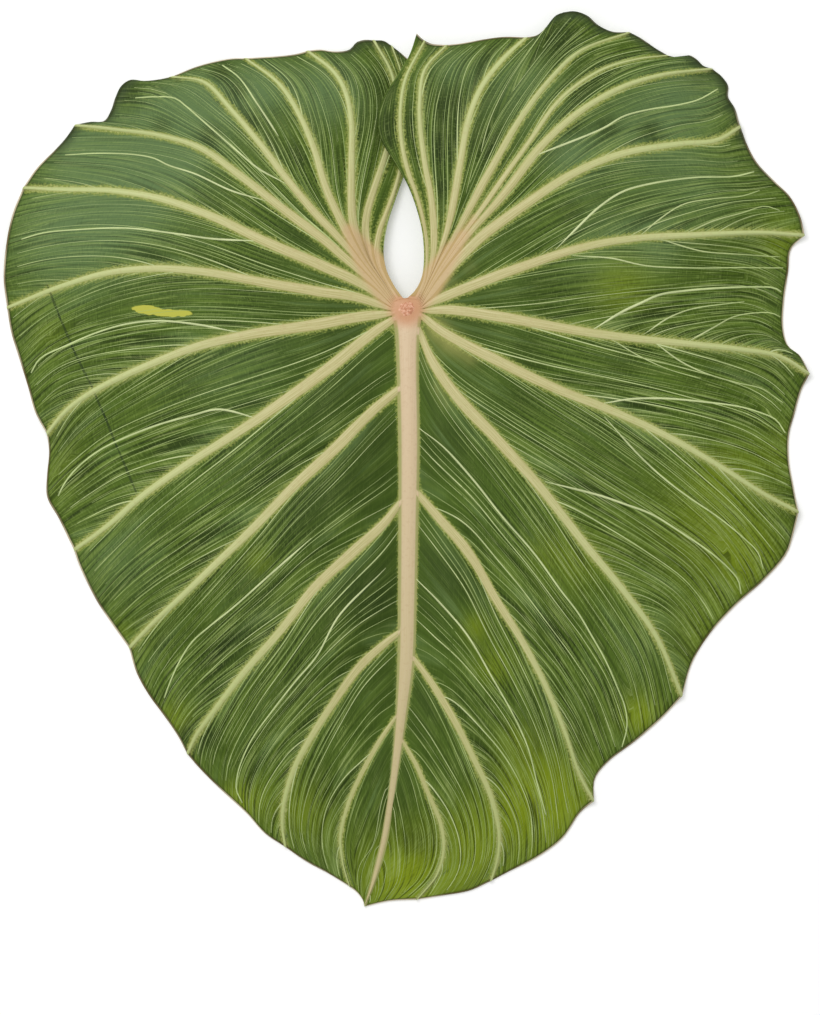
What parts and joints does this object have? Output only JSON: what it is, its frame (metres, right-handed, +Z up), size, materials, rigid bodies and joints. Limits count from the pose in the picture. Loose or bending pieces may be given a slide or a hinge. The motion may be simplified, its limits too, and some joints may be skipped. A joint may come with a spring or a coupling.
{
  "type": "philodendron leaf",
  "caption": "Large heart-shaped philodendron leaf lying face up, its waved green blade carried on pale ribs that meet at a cut stalk.",
  "frame": {"origin": "centre of the leaf's box on the surface that it lies on", "axes": "+Z up out of the upper face, +Y toward the two lobes and -Y toward the tip, +X to the right seen from above"},
  "size_m": [0.36, 0.3996, 0.0176],
  "materials": {
    "blade": "satin, softly velvety",
    "ribs": "satin, waxy"
  },
  "bodies": {
    "root": {"blade": "blade", "ribs": "ribs"}
  },
  "joints": []
}
